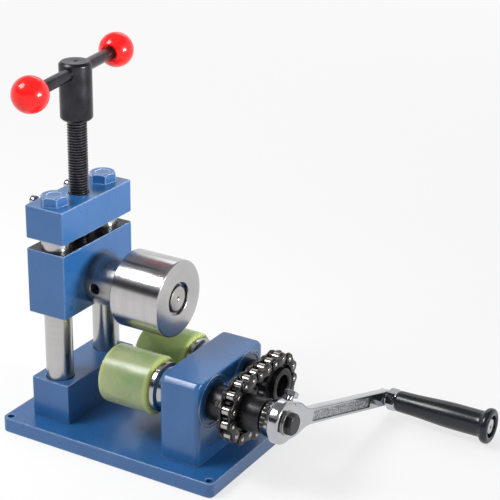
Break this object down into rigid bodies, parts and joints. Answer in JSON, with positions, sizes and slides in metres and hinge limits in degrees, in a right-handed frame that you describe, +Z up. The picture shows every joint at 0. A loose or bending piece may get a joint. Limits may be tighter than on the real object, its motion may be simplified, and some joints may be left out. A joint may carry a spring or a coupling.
{
  "type": "hand cranked ring bending machine",
  "caption": "Hand-cranked bench machine that bends ring and bangle strip between a screw-down steel roller and chain-linked rubber-faced rollers.",
  "frame": {"origin": "centre of the base plate's underside, on the bench", "axes": "+X along the roller axes from the column block to the crank, +Y across the machine from the crank-driven roller to the chain-driven roller, +Z up"},
  "size_m": [0.3908, 0.2526, 0.3449],
  "materials": {
    "blue_paint": "satin blue machine enamel",
    "ground_steel": "ground and turned steel",
    "chrome": "bright plated",
    "black_oxide": "blackened steel, lightly oiled",
    "chain_steel": "oiled roller chain steel",
    "red_plastic": "polished phenolic ball",
    "polyurethane": "translucent yellow-green polyurethane",
    "grip_rubber": "smooth black moulded grip"
  },
  "bodies": {
    "frame": {"base_plate": "blue_paint", "column_block": "blue_paint", "column_front": "ground_steel", "column_rear": "ground_steel", "top_block": "blue_paint", "column_bolt_front": "blue_paint", "column_bolt_rear": "blue_paint", "clamp_screw_front": "chrome", "clamp_screw_rear": "chrome", "bearing_block": "blue_paint", "bearing_front": "ground_steel", "bearing_rear": "ground_steel", "chain_link_01_outer": "chain_steel", "chain_link_02_inner": "chain_steel", "chain_link_03_outer": "chain_steel", "chain_link_04_inner": "chain_steel", "chain_link_05_outer": "chain_steel", "chain_link_06_inner": "chain_steel", "chain_link_07_outer": "chain_steel", "chain_link_08_inner": "chain_steel", "chain_link_09_outer": "chain_steel", "chain_link_10_inner": "chain_steel", "chain_link_11_outer": "chain_steel", "chain_link_12_inner": "chain_steel", "chain_link_13_outer": "chain_steel", "chain_link_14_inner": "chain_steel", "chain_link_15_outer": "chain_steel", "chain_link_16_inner": "chain_steel", "chain_link_17_outer": "chain_steel", "chain_link_18_inner": "chain_steel", "chain_link_19_outer": "chain_steel", "chain_link_20_inner": "chain_steel", "chain_link_21_cranked": "chain_steel"},
    "carriage": {"sliding_block": "blue_paint", "retaining_pin": "ground_steel", "roller_shaft": "ground_steel", "shaft_collar": "ground_steel", "collar_set_screw": "black_oxide", "roller_circlip": "black_oxide"},
    "pressure_screw": {"press_screw": "black_oxide", "screw_hub": "black_oxide", "tommy_bar": "black_oxide", "knob_front": "red_plastic", "knob_rear": "red_plastic"},
    "top_roller": {"upper_roller": "ground_steel"},
    "drive_roller": {"drive_shaft": "ground_steel", "drive_roller_core": "ground_steel", "drive_roller_sleeve": "polyurethane", "drive_sprocket": "black_oxide", "crank_arm": "chrome", "crank_bolt": "black_oxide", "crank_clamp_screw": "chrome", "grip_spindle": "chrome", "spindle_nut": "chrome"},
    "driven_roller": {"driven_shaft": "ground_steel", "driven_roller_core": "ground_steel", "driven_roller_sleeve": "polyurethane", "driven_sprocket": "black_oxide"},
    "hand_grip": {"grip": "grip_rubber"}
  },
  "joints": [
    {"name": "screw_turn", "type": "hinge", "parent": "carriage", "child": "pressure_screw", "pos_m": [-0.0716, 0, 0.2], "axis": [0, 0, 1], "range_deg": [-2449, 1354.6]},
    {"name": "carriage_slide", "type": "slide", "parent": "frame", "child": "carriage", "axis": [0, 0, 1], "range_m": [-0.017, 0.0094]},
    {"name": "top_roller_spin", "type": "hinge", "parent": "carriage", "child": "top_roller", "pos_m": [0, 0, 0.1399], "axis": [1, 0, 0], "continuous": true},
    {"name": "crank_spin", "type": "hinge", "parent": "frame", "child": "drive_roller", "pos_m": [0.115, -0.028, 0.0674], "axis": [1, 0, 0], "continuous": true, "deforming": ["chain_link_01_outer", "chain_link_02_inner", "chain_link_03_outer", "chain_link_04_inner", "chain_link_05_outer", "chain_link_06_inner", "chain_link_07_outer", "chain_link_08_inner", "chain_link_09_outer", "chain_link_10_inner", "chain_link_11_outer", "chain_link_12_inner", "chain_link_13_outer", "chain_link_14_inner", "chain_link_15_outer", "chain_link_16_inner", "chain_link_17_outer", "chain_link_18_inner", "chain_link_19_outer", "chain_link_20_inner", "chain_link_21_cranked"]},
    {"name": "driven_roller_spin", "type": "hinge", "parent": "frame", "child": "driven_roller", "pos_m": [0.115, 0.028, 0.0674], "axis": [1, 0, 0], "continuous": true},
    {"name": "grip_spin", "type": "hinge", "parent": "drive_roller", "child": "hand_grip", "pos_m": [0.23, 0.14302, 0.01804], "axis": [1, 0, 0], "continuous": true}
  ],
  "couplings": [
    {"joint": "screw_turn", "follows": "carriage_slide", "rad_per_m": 2513.3},
    {"joint": "driven_roller_spin", "follows": "crank_spin", "ratio": 1}
  ]
}
